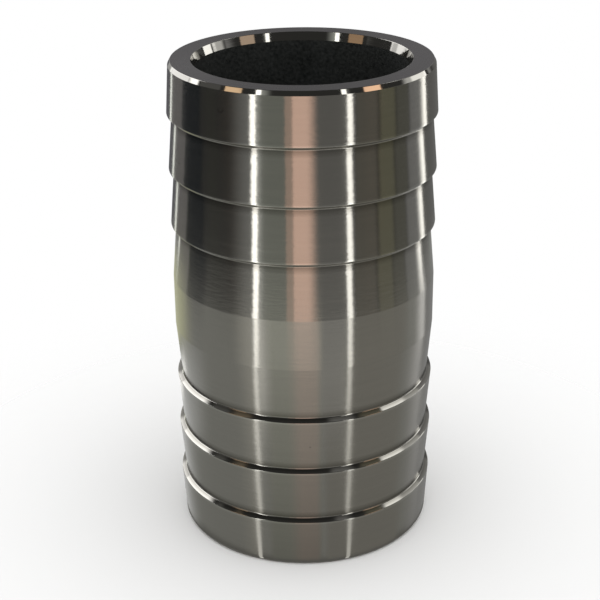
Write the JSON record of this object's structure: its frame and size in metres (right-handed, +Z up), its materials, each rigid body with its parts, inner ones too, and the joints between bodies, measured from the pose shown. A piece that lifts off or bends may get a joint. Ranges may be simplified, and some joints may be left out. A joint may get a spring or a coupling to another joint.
{
  "type": "double hose barb",
  "caption": "Straight hose joiner turned from thick steel pipe: saw-tooth barbs on either side of a plain middle band, flat chamfered ends and an open bore right through.",
  "frame": {"origin": "centre of the lower end face, on the axis of the bore; the part stands on that face", "axes": "+Z up along the bore axis; the body is round about Z, so X and Y may be taken any way round; the two hose ends are mirror images about the middle of the plain band"},
  "size_m": [0.04, 0.04, 0.0743],
  "materials": {
    "turned_steel": "turned stainless steel: cones near the upper end polished, middle band and lower cones satin, bore left dark and grainy"
  },
  "bodies": {
    "root": {"hose_barb": "turned_steel"}
  },
  "joints": []
}
